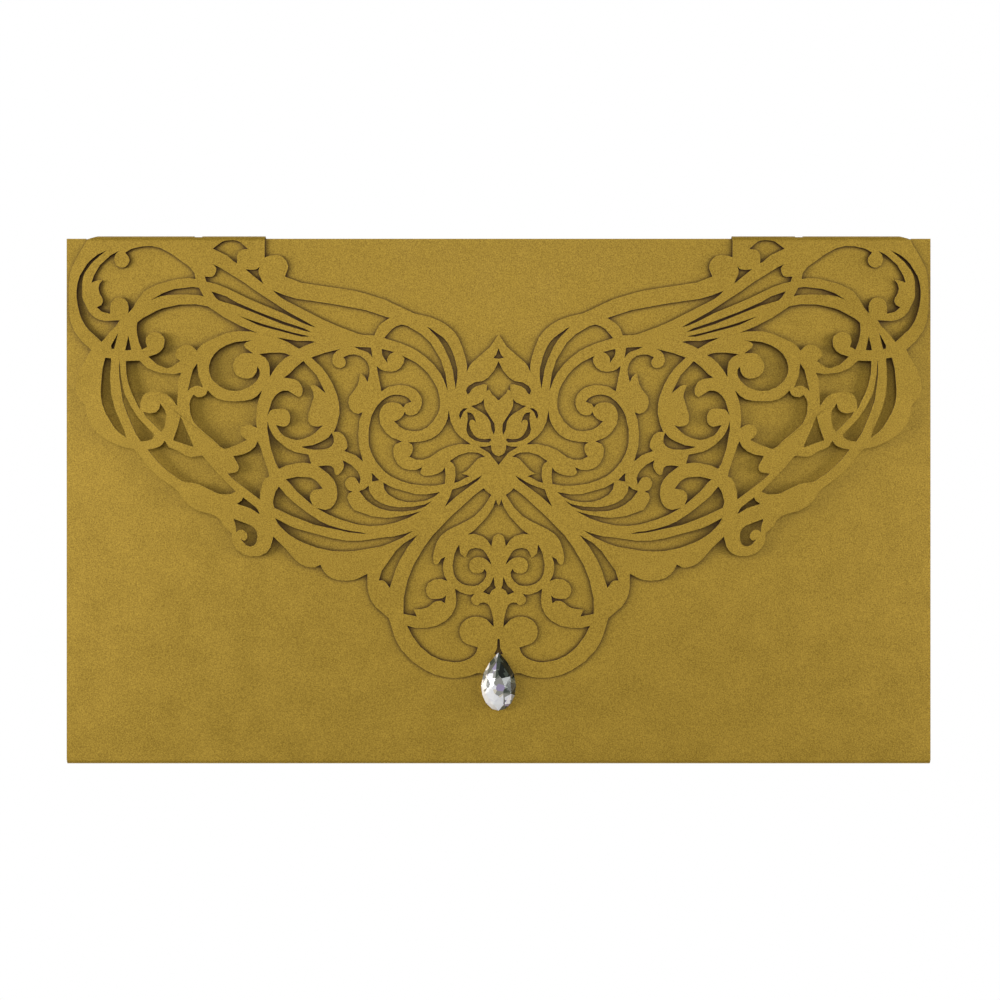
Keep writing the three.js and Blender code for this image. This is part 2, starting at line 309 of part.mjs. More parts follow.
    10.4, 29.8, 10.2, 31, 10.05, 32.5],
  [9.8, 33.9, 9.55, 32.3, 9.4, 31, 9.4, 29.7, 9.6, 28.4, 9.9, 27.3, 10.2, 26.3, 10.7, 25, 11.3, 23.8,
    12, 22.8, 12.9, 21.9, 14.6, 20.8, 15.6, 20]],
  [[11.6, 34.4, 11.7, 33, 11.95, 31.6, 12.2, 30.3, 12.6, 29, 12.95, 27.8, 13.5, 26.6, 14.2, 25.4, 15, 24.1,
    15.8, 23, 16.8, 22.1, 17.8, 21.2, 18.9, 20.5, 20, 19.9, 20.9, 19.4, 21.9, 19.1, 22.9, 19.3, 23.9, 19.8,
    24.8, 20.5, 25.5, 21.3],
  [26.2, 22.2, 24.7, 22.6, 23.2, 23.1, 21.8, 23.6, 20.4, 24.2, 19, 24.9, 17.7, 25.8, 16.4, 26.8, 15.2, 27.9,
    14.1, 29.2, 13.2, 30.5, 12.6, 31.7, 12.2, 32.9]],

  // Curls beside the middle
  [[3.35, 35.9, 3.55, 36.5, 3.9, 36.85, 4.6, 37.2, 5.4, 37.6],
  [6.35, 37.75, 5.5, 38.35, 4.6, 38.85, 3.7, 39.35, 3, 39.85, 2.4, 40.5, 1.95, 41.3, 1.7, 42.3, 1.6, 43.2],
  [1.1, 44.35, 0.85, 43.6, 0.85, 42.6, 1, 41.7, 1.5, 40.8, 2.1, 40, 2.7, 39.2, 3.1, 38.4, 3.35, 37.4]],
  [[7.1, 38.25, 7.9, 38.3, 8.6, 38.8, 9, 39.5, 9.05, 40.2],
  [8.75, 40.8, 8.45, 40.2, 8.25, 39.5, 7.9, 38.95, 7.5, 38.55]],
  [[5.15, 41.7, 5.3, 41.1, 5.5, 40.4, 5.8, 39.8, 6.3, 39.35],
  [7.2, 39.2, 7.05, 40, 7.05, 40.9, 7.3, 41.9, 7.4, 42.9, 7.25, 43.9, 6.8, 44.7, 6.1, 45.3, 5.1, 45.8,
    4, 46.05, 2.9, 46.15, 2.1, 46.1],
  [1.65, 45.6, 1.8, 45.25, 2.8, 45.4, 3.9, 45.35, 4.8, 45.1, 5.6, 44.5, 6.2, 43.6, 6.6, 42.6, 6.75, 41.7,
    6.6, 41.1, 6.1, 40.9],
  [5.6, 41]],
  [[3.1, 49.4, 4, 48.8, 5.2, 48.4, 6.6, 48.35, 8, 48.6, 9.3, 49.1, 10.3, 49.7],
  [11.2, 50.4, 10.4, 50.95, 10, 51.7, 9.85, 52.8, 9.85, 54],
  [10.15, 55.4, 9.1, 55.1, 8.2, 54.6, 7.5, 54.2],
  [6.65, 53.9, 7.4, 53.55],
  [8.5, 53.35, 7.6, 52.85, 6.7, 52.05, 5.9, 51.1, 5, 50.1, 4.2, 49.6]],
  [[3.7, 53.6, 4.6, 54.1, 5.7, 54.8, 6.8, 55.5, 8, 56, 9.2, 56.5],
  [10.6, 56.9, 10.8, 57.7, 11.1, 58.5, 11.5, 59.3, 12, 60.1],
  [12.3, 60.9, 11.5, 60.2, 10.9, 59.5, 10.2, 58.9, 9.2, 58.1, 8.2, 57.4, 7.3, 56.7, 6.4, 56, 5.5, 55.3,
    4.5, 54.6]],
  [[3.4, 56.6, 4.3, 57.3, 5.3, 58, 6.4, 59, 7.5, 60, 8.5, 60.9, 9.6, 61.9, 10.6, 62.8, 11.6, 63.8, 12.6, 64.8,
    13.6, 65.9, 14.5, 66.8, 15.4, 67.8, 16.2, 68.9, 16.9, 69.9, 17.5, 70.9, 18.2, 72, 18.9, 73.2,
    19.5, 74.3, 20, 75.5, 20.5, 76.8, 20.9, 78, 21.2, 79.3, 21.5, 80.5, 21.7, 81.7, 21.8, 82.8, 21.8, 84],
  [21.75, 85.4, 20.2, 85.7],
  [18.7, 86, 19.1, 85.2],
  [19.5, 84.4, 18.2, 84.35, 17, 84.15, 16, 83.75, 15.3, 83.1, 14.6, 82.6, 13.8, 82.4, 13, 82.45],
  [12.3, 83, 12.1, 82],
  [12, 81.1, 12.6, 81.7, 13.6, 81.95, 14.6, 82, 15.5, 81.9, 16.2, 81.3, 16.6, 80.4, 16.6, 79.4, 16.2, 78.5,
    15.5, 77.9, 14.5, 77.45, 13.4, 77.35, 12.5, 77.5],
  [11.7, 77.9, 12.3, 76.9, 12.65, 75.8, 12.75, 74.6, 12.6, 73.4],
  [12.2, 72.3, 12.9, 72.6, 13.4, 73.1, 13.7, 73.8, 14.2, 74.2, 14.7, 74, 14.95, 73.3, 15, 72.2, 14.8, 71,
    14.4, 69.7, 13.9, 68.5, 13.1, 67.4, 12.1, 66.6, 11, 65.9, 9.7, 65.2, 8.3, 64.6, 6.9, 63.9, 5.6, 63.1,
    4.5, 62.1, 3.5, 61, 2.7, 59.8, 2.1, 58.9],
  [1.65, 58.15, 2.2, 57.7, 2.9, 57.25]],
  [[1.55, 74.25, 1.9, 73.3, 2.4, 72.4, 2.9, 71.5, 3.5, 70.8, 4.4, 70.4, 5.4, 70.3, 6.3, 70.5, 6.9, 71,
    7.2, 71.8, 7.5, 72.5, 8.1, 72.2, 8.5, 71.7],
  [8.8, 71.5, 8.9, 70.6],
  [9, 69.5, 9.5, 70.3, 9.95, 71.3, 10.3, 72.5, 10.5, 73.8, 10.5, 75.1, 10.25, 76.3, 9.6, 77.5, 8.7, 78.3,
    7.5, 78.85, 6.2, 79, 4.9, 78.9, 3.9, 78.3, 3.1, 77.4, 2.75, 76.5, 2.8, 75.7],
  [3.2, 75.1, 3.6, 75.8, 4.4, 76.15, 5.4, 76.15, 6.2, 75.8, 6.65, 75.1, 6.75, 74.2, 6.5, 73.3, 5.9, 72.7,
    5.1, 72.4, 4.1, 72.4, 3.2, 72.7, 2.4, 73.3]],
  [[1.1, 76.95, 1.4, 77.8, 1.9, 78.8, 2.6, 79.6],
  [3.6, 80.4, 2.9, 80.65],
  [2.1, 81.05, 1.85, 80.4, 1.4, 79.9],
  [0.6, 79.5, 0.9, 78.9, 1, 78]],

  // Large lobe above the tip
  [[9.95, 79.65, 9.85, 80.8, 9.65, 82, 9.75, 83.3, 10.1, 84.5, 10.8, 85.7, 11.7, 86.7, 12.9, 87.55, 14.3, 88.2,
    15.8, 88.5, 17.5, 88.7, 19.3, 88.6],
  [20.95, 88.1, 20.3, 89.5, 19.4, 91, 18.3, 92.5, 17, 93.8, 15.5, 94.95, 13.8, 95.8, 12, 96.3, 10.2, 96.5,
    8.5, 96.35, 7, 95.85, 5.8, 95.1, 5.1, 94.2],
  [4.75, 93.1, 5.9, 92.75, 7, 92.45, 7.9, 91.9, 8.6, 91, 8.95, 89.9, 8.9, 88.7, 8.4, 87.6, 7.5, 86.75,
    6.4, 86.2, 5.1, 86, 3.8, 86.2, 2.6, 86.8, 1.8, 87.6],
  [1.1, 88.4, 1.15, 87.1, 1.45, 85.7, 1.8, 84.3, 2.3, 83.3, 3.2, 82.8, 4.1, 82.9, 4.8, 83.5, 5.4, 83.4,
    6.1, 82.8, 6.3, 81.9],
  [5.5, 80.8, 6.6, 81.05, 7.8, 80.8, 9, 80.3]],
];

// Openings on the middle line, given as their right halves from the top point to the bottom point
const MIDDLE_OPENINGS = [
  [[0, 24.5, 0.3, 25.4, 0.65, 26.2], [1.2, 26.75, 0.6, 26.9], [0, 26.95]],
  [[0, 27.5, 0.35, 28.4, 0.8, 29.3, 1.4, 30.2, 2.2, 31.1, 3, 31.7, 3.7, 32.1, 4.6, 32.15, 5.6, 32.4,
    6.6, 32.95, 7.25, 33.7, 7.45, 34.5],
  [7.1, 35.15, 6.65, 34.8, 6.3, 34.1, 5.6, 33.5, 4.8, 33.1, 3.9, 32.85, 3.1, 32.75],
  [2.6, 32.9, 2.7, 33.7],
  [2.75, 34.5, 2.4, 34, 2, 34.1, 1.8, 34.7, 1.3, 35.2, 0.7, 35.7],
  [0, 36.5]],
  [[0, 49.3, 0.8, 49, 1.4, 48.4, 1.7, 47.6],
  [1.75, 46.75, 2.6, 47.05, 3.5, 47.1],
  [4.55, 47.1, 3.7, 47.55, 2.9, 48, 2.2, 48.5, 1.6, 49.2, 1.05, 49.95, 0.5, 50.8],
  [0, 51.3]],
  [[0, 60.6, 0.35, 60.1],
  [0.6, 59.1, 0.85, 60, 1.3, 61.1, 2, 62.3, 2.9, 63.5, 3.8, 64.5, 4.7, 65.4, 5.6, 66.3],
  [7.05, 67.25, 6.2, 67.05, 5.2, 67.1, 4.2, 67.35, 3.3, 67.8, 2.6, 68.5, 2, 69.3],
  [1.65, 69.95, 1.5, 69, 1.35, 68.2, 1, 67.5, 0.5, 67.2],
  [0, 67.1]],
  [[0, 91.1], [0.26, 91.3, 0.29, 92.2, 0.34, 93.2, 0.6, 93.9], [1, 94.6, 0.5, 94.85], [0, 94.9]],
];

// Arched opening at each hinge, which bites into the rolled fold, and the small nick beside it
const HINGE_OPENING = [
  [57.3, 1.8, 58.3, 0.8, 59.3, 0.1, 60.3, -0.2, 62, -0.2, 63.2, 0.1, 64.3, 0.9],
  [65.4, 1.7, 63, 2.8, 61.5, 3.7, 60.5, 4.7],
  [59.8, 5.1, 59.9, 3.8, 59.7, 2.7, 59, 2, 58.2, 1.85],
];
const ARCH_CLEARANCE = 0.05;
const HINGE_NICK = [67.9, 69.8];
const HINGE_NICK_DEPTH = 0.3;
const HINGE_SLOPE = 2.5;

// The pattern's own extent: its half width, its hinge line and the tip that carries the stone
const PATTERN_REACH = Math.max(...LOWER_EDGE_RUNS.flatMap((run) => run.filter((value, i) => i % 2 === 0)));
const [HINGE_OUTER, PATTERN_HINGE] = LOWER_EDGE_RUNS[0];
const [HINGE_INNER] = TOP_EDGE_RUNS[0];
const PATTERN_TIP = LOWER_EDGE_RUNS[LOWER_EDGE_RUNS.length - 1][1];

const wasm = await Module();
wasm.setup();

// Turns a flat list of number pairs into points.
function pointsOf(run) {
  const points = [];
  for (let i = 0; i < run.length; i += 2) {
    points.push(new THREE.Vector2(run[i], run[i + 1]));
  }
  return points;
}

// Drops the points that lie within the cutting tolerance of the line between their neighbours.
function thinned(points) {
  if (points.length < 3) return points;
  const first = points[0];
  const last = points[points.length - 1];
  const chord = last.clone().sub(first);
  const length = Math.max(chord.length(), 1e-9);
  let widest = 0;
  let split = 0;
  for (let i = 1; i < points.length - 1; i += 1) {
    const away = Math.abs(points[i].clone().sub(first).cross(chord)) / length;
    if (away > widest) {
      widest = away;
      split = i;
    }
  }
  if (widest < CUT_TOLERANCE) return [first, last];
  return [...thinned(points.slice(0, split + 1)).slice(0, -1), ...thinned(points.slice(split))];
}

// A smooth curve through one run's points up to the next corner, without that corner.
function smoothRun(run, nextCorner) {
  const points = [...pointsOf(run), nextCorner];
  if (points.length < 3) return [points[0]];
  const knots = points.map((p) => new THREE.Vector3(p.x, p.y, 0));
  const curve = new THREE.CatmullRomCurve3(knots, false, 'centripetal');
  const dense = curve.getPoints((points.length - 1) * CURVE_STEPS);
  return thinned(dense.map((p) => new THREE.Vector2(p.x, p.y))).slice(0, -1);
}

// The polyline of an outline made of runs; a closed one returns to its first corner.
function outline(runs, closed) {
  const corners = runs.map((run) => new THREE.Vector2(run[0], run[1]));
  const points = [];
  runs.forEach((run, i) => {
    const isLast = i === runs.length - 1;
    if (isLast && !closed) points.push(corners[i]);
    else points.push(...smoothRun(run, corners[(i + 1) % runs.length]));
  });
  return points;
}

// Pattern points to card coordinates, on the right half or the left one.
const patternWidthScale = (PANEL_WIDTH / 2 - FLAP_SIDE_MARGIN) / PATTERN_REACH;
const patternDropScale = FLAP_DROP / (PATTERN_TIP - PATTERN_HINGE);

function patternX(x) {
  return x * patternWidthScale;
}

function patternY(v) {
  return HINGE_Y - (v - PATTERN_HINGE) * patternDropScale;
}

function onCard(points, side) {
  return points.map((p) => new THREE.Vector2(side * patternX(p.x), patternY(p.y)));
}

function mirrored(points) {
  return points.map((p) => new THREE.Vector2(-p.x, p.y)).reverse();
}

// Height of the flap above its flat level: it springs up towards its outer lower leaves.
const LIFT_START_X = 26;
const LIFT_END_X = 76;
const LIFT_START_V = 6;
const LIFT_END_V = 40;

function flapLift(x, y) {
  const v = PATTERN_HINGE + (HINGE_Y - y) / patternDropScale;
  const across = THREE.MathUtils.smoothstep(Math.abs(x) / patternWidthScale, LIFT_START_X, LIFT_END_X);
  const down = THREE.MathUtils.smoothstep(v, LIFT_START_V, LIFT_END_V);
  return FLAP_LIFT * across * down;
}

// Turns a closed geometry into a solid with shared corners.
function solidOf(geometry) {
  const plain = geometry.clone();
  plain.deleteAttribute('normal');
  plain.deleteAttribute('uv');
  const welded = mergeVertices(plain);
  return new wasm.Manifold(new wasm.Mesh({
    numProp: 3,
    vertProperties: new Float32Array(welded.attributes.position.array),
    triVerts: new Uint32Array(welded.index.array),
  }));
}

function geometryOf(solid) {
  const mesh = solid.getMesh();
  const geometry = new THREE.BufferGeometry();
  geometry.setAttribute('position', new THREE.BufferAttribute(mesh.vertProperties, 3));
  geometry.setIndex(new THREE.BufferAttribute(mesh.triVerts, 1));
  return geometry;
}

// A flat plate with the given outline, from one height to another. The outline goes in counter-clockwise.
function plate(points, low, high, holes = []) {
  const isTurned = THREE.ShapeUtils.isClockWise(points);
  const shape = new THREE.Shape(isTurned ? points.slice().reverse() : points);
  shape.holes = holes.map((hole) => new THREE.Path(hole));
  const geometry = new THREE.ExtrudeGeometry(shape, { depth: high - low, bevelEnabled: false });
  geometry.translate(0, 0, low);
  return geometry;
}

function rectangle(x0, x1, y0, y1) {
  return [[x0, y0], [x1, y0], [x1, y1], [x0, y1]].map((p) => new THREE.Vector2(...p));
}

// Section of a half-round fold: first coordinate outward, second one up, with flat tongues behind it.
function foldSection(radius, lowTongue, highTongue) {
  const section = new THREE.Shape();
  section.moveTo(-lowTongue, 0);
  section.lineTo(0, 0);
  section.absarc(0, radius, radius, -Math.PI / 2, Math.PI / 2, false);
  if (highTongue > 0) section.lineTo(-highTongue, 2 * radius);
  if (highTongue > 0) section.lineTo(-highTongue, 2 * radius - CARD);
  section.lineTo(0, 2 * radius - CARD);
  section.absarc(0, radius, radius - CARD, Math.PI / 2, -Math.PI / 2, true);
  section.lineTo(-lowTongue, CARD);
  return section;
}

// A fold that runs along X at the card's top or bottom.
function foldAlongX(radius, highTongue, direction, x0, x1, foldY) {
  const section = foldSection(radius, TONGUE, highTongue);
  const options = { depth: x1 - x0, bevelEnabled: false, curveSegments: FOLD_STEPS };
  const geometry = new THREE.ExtrudeGeometry(section, options);
  geometry.applyMatrix4(new THREE.Matrix4().makeBasis(
    new THREE.Vector3(0, 1, 0),
    new THREE.Vector3(0, 0, 1),
    new THREE.Vector3(1, 0, 0),
  ));
  geometry.translate(x0, 0, 0);
  if (direction < 0) geometry.rotateZ(Math.PI).translate(x0 + x1, 0, 0);
  geometry.translate(0, foldY, 0);
  return geometry;
}

// A fold that runs along Y at the card's right or left side.
function foldAlongY(radius, direction, y0, y1, foldX) {
  const section = foldSection(radius, TONGUE, TONGUE);
  const options = { depth: y1 - y0, bevelEnabled: false, curveSegments: FOLD_STEPS };
  const geometry = new THREE.ExtrudeGeometry(section, options);
  geometry.rotateX(Math.PI / 2);
  geometry.translate(foldX, y1, 0);
  if (direction < 0) geometry.rotateZ(Math.PI).translate(0, y0 + y1, 0);
  return geometry;
}

// The flap: the outer contour of both halves with every opening, sprung up at its sides.
function flapGeometry() {
  const top = outline(TOP_EDGE_RUNS, false);
  const lower = outline(LOWER_EDGE_RUNS, false);
  const rightTop = onCard(top, 1);
  const rightLower = onCard(lower, 1);
  const contour = [
    ...rightLower,
    ...mirrored(rightLower).slice(1),
    ...mirrored(rightTop.slice().reverse()).slice(0, -1),
    ...rightTop.slice().reverse(),
  ];
  const holes = [];
  SIDE_OPENINGS.forEach((runs) => {
    const hole = onCard(outline(runs, true), 1);
    holes.push(hole, mirrored(hole));
  });
  MIDDLE_OPENINGS.forEach((runs) => {
    const half = onCard(outline(runs, false), 1);
    holes.push([...half, ...mirrored(half).slice(1, -1)]);
  });
  const geometry = plate(contour, FLAP_BOTTOM, FLAP_TOP, holes);
  const position = geometry.attributes.position;
  for (let i = 0; i < position.count; i += 1) {
    const lift = flapLift(position.getX(i), position.getY(i));
    position.setZ(i, position.getZ(i) + lift);
  }
  return geometry;
}

// The back panel, cut lower where the two top folds start.
function backPanel() {
  const inner = patternX(HINGE_INNER);
  const outer = patternX(HINGE_OUTER);
  const right = [
    [SIDE_FOLD_X, BOTTOM_FOLD_Y],
    [SIDE_FOLD_X, TOP_EDGE_Y],
    [outer, TOP_EDGE_Y],
    [outer, HINGE_Y],
    [inner, HINGE_Y],
    [inner, TOP_EDGE_Y],
  ].map((p) => new THREE.Vector2(...p));
  return plate([...right, ...mirrored(right)], 0, CARD);
}

function frontPanel() {
  const half = PANEL_WIDTH / 2;
  return plate(rectangle(-half, half, BOTTOM_FOLD_Y, TOP_EDGE_Y - MOUTH_SETBACK), FRONT_BOTTOM, FRONT_TOP);
}

// The flat part of a side tab, tapered towards its free edge.
const TAB_LOW_Y = BOTTOM_FOLD_Y + TAB_CORNER_GAP;
const TAB_HIGH_Y = TOP_EDGE_Y - TAB_CORNER_GAP;

function tabPlate(side) {
  const points = [
    [SIDE_FOLD_X, TAB_LOW_Y],
    [SIDE_FOLD_X, TAB_HIGH_Y],
    [SIDE_FOLD_X - TAB_WIDTH, TAB_HIGH_Y - TAB_TAPER],
    [SIDE_FOLD_X - TAB_WIDTH, TAB_LOW_Y + TAB_TAPER],
  ].map((p) => new THREE.Vector2(...p));
  return plate(side > 0 ? points : mirrored(points), TAB_BOTTOM, TAB_TOP);
}

// What the die takes out of the top folds on one side: the arch, the nick and the sloping end.
function foldCuts(side) {
  const above = FLAP_TOP + CARD;
  const arch = onCard(outline(HINGE_OPENING, true), side);
  const [nickInner, nickOuter] = HINGE_NICK.map(patternX);
  const nick = rectangle(nickInner, nickOuter, CROWN_Y - HINGE_NICK_DEPTH, CROWN_Y + CARD);
  const outer = patternX(HINGE_OUTER);
  const slope = [
    new THREE.Vector2(outer - HINGE_SLOPE, CROWN_Y + CARD),
    new THREE.Vector2(outer - HINGE_SLOPE, CROWN_Y),
    new THREE.Vector2(outer, HINGE_Y + CARD),
    new THREE.Vector2(outer + CARD, HINGE_Y + CARD),
    new THREE.Vector2(outer + CARD, CROWN_Y + CARD),
  ];
  const sided = (points) => (side > 0 ? points : mirrored(points));
  return [
    plate(arch, FRONT_TOP + ARCH_CLEARANCE, above),
    plate(sided(nick), -CARD, above),
    plate(sided(slope), -CARD, above),
  ];
}

function jacketSolid() {
  const sheets = [backPanel(), frontPanel(), flapGeometry()];
  const bottomEnd = PANEL_WIDTH / 2 - BOTTOM_FOLD_SETBACK;
  sheets.push(foldAlongX(BOTTOM_RADIUS, TONGUE, -1, -bottomEnd, bottomEnd, BOTTOM_FOLD_Y));
  [1, -1].forEach((side) => {
    const ends = [side * patternX(HINGE_INNER), side * patternX(HINGE_OUTER)].sort((a, b) => a - b);
    sheets.push(foldAlongX(TOP_RADIUS, 0, 1, ends[0], ends[1], HINGE_Y));
    sheets.push(foldAlongY(SIDE_RADIUS, side, TAB_LOW_Y, TAB_HIGH_Y, SIDE_FOLD_X));
    sheets.push(tabPlate(side));
  });
  let jacket = solidOf(sheets[0]);
  sheets.slice(1).forEach((sheet) => {
    jacket = jacket.add(solidOf(sheet));
  });
  [1, -1].forEach((side) => {
    foldCuts(side).forEach((cut) => {
      jacket = jacket.subtract(solidOf(cut));
    });
  });
  return geometryOf(jacket);
}

// The stone's outline: a pointed end at the top and a round one below, as a ring of points.
const STONE_TIP_REACH = 0.57;
const STONE_SHARPNESS = 2;
const STONE_SIDES = 16;
const STONE_BACK = 0.92;
const GIRDLE_RISE = 0.16;
const SHOULDER = 0.78;
const SHOULDER_RISE = 0.63;
const STONE_TABLE = 0.36;

function stoneRing(scale, height, count, turn) {
  const ring = [];
  for (let i = 0; i < count; i += 1) {
    const angle = ((i + turn) / count) * 2 * Math.PI;
    const upward = Math.cos(angle);
    const across = Math.sin(angle);
    const reach = STONE_LENGTH * (upward > 0 ? STONE_TIP_REACH : 1 - STONE_TIP_REACH);
    const breadth = upward > 0 ? 1 - upward ** STONE_SHARPNESS : Math.abs(across);
    const x = Math.sign(across) * breadth * STONE_WIDTH / 2;
    ring.push(new THREE.Vector3(x * scale, upward * reach * scale, height));
  }
  return ring;
}

// A flat back, a thin girdle, two rows of slanted facets and a long narrow table.
function stoneGeometry() {
  return new ConvexGeometry([
    ...stoneRing(STONE_BACK, 0, STONE_SIDES, 0),
    ...stoneRing(1, GIRDLE_RISE * STONE_HEIGHT, STONE_SIDES, 0),
    ...stoneRing(SHOULDER, SHOULDER_RISE * STONE_HEIGHT, STONE_SIDES / 2, 0.5),
    ...stoneRing(STONE_TABLE, STONE_HEIGHT, STONE_SIDES / 2, 0),
  ]);
}

function material(colour, roughness, metalness) {
  return new THREE.MeshStandardMaterial({ color: colour, roughness, metalness });
}

const invitation = new THREE.Group();

function addPiece(name, geometry, look) {
  const mesh = new THREE.Mesh(geometry, look);
  mesh.name = name;
  invitation.add(mesh);
  return mesh;
}

addPiece('jacket', jacketSolid(), material(0xa38634, 0.45, 0.5));

// The insert lies on the back panel, below the tabs.
const insertWidth = PANEL_WIDTH - 2 * INSERT_SIDE_GAP;
const insertHeight = PANEL_HEIGHT - 2 * INSERT_END_GAP;
addPiece(
  'insert_card',
  plate(
    rectangle(-insertWidth / 2, insertWidth / 2, -insertHeight / 2, insertHeight / 2),
    CARD,
    CARD + INSERT_THICKNESS,
  ),
  material(0xf4efe2, 0.8, 0),
);

// The adhesive lies on the tabs and holds the front panel.
[['adhesive_strip_right', 1], ['adhesive_strip_left', -1]].forEach(([name, side]) => {
  const middle = side * (SIDE_FOLD_X - TAB_WIDTH / 2);
  const low = TAB_LOW_Y + TAB_TAPER + ADHESIVE_END_GAP;
  const high = TAB_HIGH_Y - TAB_TAPER - ADHESIVE_END_GAP;
  const points = rectangle(middle - ADHESIVE_WIDTH / 2, middle + ADHESIVE_WIDTH / 2, low, high);
  addPiece(name, plate(points, TAB_TOP, FRONT_BOTTOM), material(0xeeeae0, 0.6, 0));
});

// The stone sits on a dot of glue at the flap's lowest tip and hangs past it.
const glueY = patternY(PATTERN_TIP) + GLUE_DIAMETER / 2 + GLUE_MARGIN;
const glue = new THREE.CylinderGeometry(GLUE_DIAMETER / 2, GLUE_DIAMETER / 2, GLUE_THICKNESS, 16);
glue.rotateX(Math.PI / 2);
addPiece('stone_glue', glue, material(0xe8e8e4, 0.3, 0)).position.set(0, glueY, FLAP_TOP + GLUE_THICKNESS / 2);

const stone = addPiece('rhinestone', stoneGeometry(), material(0xd9dce0, 0.08, 0.6));
const stoneTop = patternY(PATTERN_TIP) + STONE_OVERLAP;
stone.position.set(0, stoneTop - STONE_LENGTH * STONE_TIP_REACH, FLAP_TOP + GLUE_THICKNESS);

export default invitation;
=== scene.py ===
import bpy
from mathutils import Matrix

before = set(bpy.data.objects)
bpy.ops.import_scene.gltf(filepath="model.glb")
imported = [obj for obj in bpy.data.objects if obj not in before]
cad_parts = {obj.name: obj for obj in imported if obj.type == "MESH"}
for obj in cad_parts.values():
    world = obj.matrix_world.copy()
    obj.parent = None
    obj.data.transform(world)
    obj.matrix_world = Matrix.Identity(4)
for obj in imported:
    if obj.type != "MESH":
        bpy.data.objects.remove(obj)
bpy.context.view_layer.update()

# Jacket: one sheet of pearlescent gold card, folded into back panel, front pocket panel and side tabs, with
# two rolled top folds and the cut scrollwork flap. Its faces have a fine mottled grain. The cuts are brown.
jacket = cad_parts["jacket"]
side_fold_start = 0.09834
bottom_fold_start = -0.0596
top_fold_start = 0.05922
hinge_line = 0.0592
flap_level = 0.00195
steep_face = 0.02
bow_height = 0.002
bow_across = (0.026, 0.076)
bow_down = (0.006, 0.040)
grain_share = 0.9
metal_share = 0.45
smoothest = 0.4
roughness_spread = 0.2


def new_finish(name):
    finish = bpy.data.materials.new(name)
    finish.use_nodes = True
    tree = finish.node_tree
    return finish, tree.nodes, tree.links, tree.nodes["Principled BSDF"]


def put_on(piece, finish):
    piece.data.materials.clear()
    piece.data.materials.append(finish)


def maths_in(nodes, links):
    def maths(operation, first, second=None, third=None):
        node = nodes.new("ShaderNodeMath")
        node.operation = operation
        for socket, value in zip(node.inputs, (first, second, third)):
            if value is None:
                continue
            if isinstance(value, (int, float)):
                socket.default_value = value
            else:
                links.new(value, socket)
        return node.outputs[0]
    return maths


card_material, card_nodes, card_links, card_shader = new_finish("gold_card")
card_math = maths_in(card_nodes, card_links)
card_place = card_nodes.new("ShaderNodeTexCoord")
card_xyz = card_nodes.new("ShaderNodeSeparateXYZ")
card_links.new(card_place.outputs["Object"], card_xyz.inputs[0])
card_x, card_y, card_z = card_xyz.outputs[0], card_xyz.outputs[1], card_xyz.outputs[2]
card_reach = card_math("ABSOLUTE", card_x)
card_geometry = card_nodes.new("ShaderNodeNewGeometry")
card_facing = card_nodes.new("ShaderNodeSeparateXYZ")
card_links.new(card_geometry.outputs["True Normal"], card_facing.inputs[0])
card_upright = card_math("ABSOLUTE", card_facing.outputs[2])

# Cut walls: steep faces that are no part of a rounded fold
is_wall = card_math("LESS_THAN", card_upright, steep_face)
is_inside = card_math("LESS_THAN", card_reach, side_fold_start)
is_above_bottom = card_math("GREATER_THAN", card_y, bottom_fold_start)
is_below_roll = card_math("LESS_THAN", card_y, top_fold_start)
is_cut = card_math("MULTIPLY", card_math("MULTIPLY", is_wall, is_inside),
                   card_math("MULTIPLY", is_above_bottom, is_below_roll))

# Fine grain of the pearl coating, and a slower unevenness
card_grain = card_nodes.new("ShaderNodeTexNoise")
card_grain.inputs["Scale"].default_value = 4200
card_grain.inputs["Detail"].default_value = 2
card_grain.inputs["Roughness"].default_value = 0.7
card_links.new(card_place.outputs["Object"], card_grain.inputs["Vector"])
card_cloud = card_nodes.new("ShaderNodeTexNoise")
card_cloud.inputs["Scale"].default_value = 160
card_cloud.inputs["Detail"].default_value = 3
card_links.new(card_place.outputs["Object"], card_cloud.inputs["Vector"])
card_tone = card_math("MULTIPLY_ADD", card_cloud.outputs["Fac"], 1 - grain_share,
                      card_math("MULTIPLY", card_grain.outputs["Fac"], grain_share))
card_ramp = card_nodes.new("ShaderNodeValToRGB")
card_ramp.color_ramp.elements[0].position = 0.31
card_ramp.color_ramp.elements[0].color = (0.215, 0.126, 0.004, 1)
card_ramp.color_ramp.elements[1].position = 0.69
card_ramp.color_ramp.elements[1].color = (0.500, 0.322, 0.034, 1)
card_links.new(card_tone, card_ramp.inputs["Fac"])

# Painted shade and brown smoke stain of the cutting: the panel is darkened close under the flap's cut
# edges, where the flap shelters it
card_shelter = card_nodes.new("ShaderNodeAmbientOcclusion")
card_shelter.samples = 8
card_shelter.only_local = True
card_shelter.inputs["Distance"].default_value = 0.0028
painted_shade_and_smoke = card_nodes.new("ShaderNodeMapRange")
painted_shade_and_smoke.inputs["From Min"].default_value = 0.42
painted_shade_and_smoke.inputs["From Max"].default_value = 0.88
painted_shade_and_smoke.inputs["To Min"].default_value = 1.0
painted_shade_and_smoke.inputs["To Max"].default_value = 0.0
card_links.new(card_shelter.outputs["AO"], painted_shade_and_smoke.inputs["Value"])
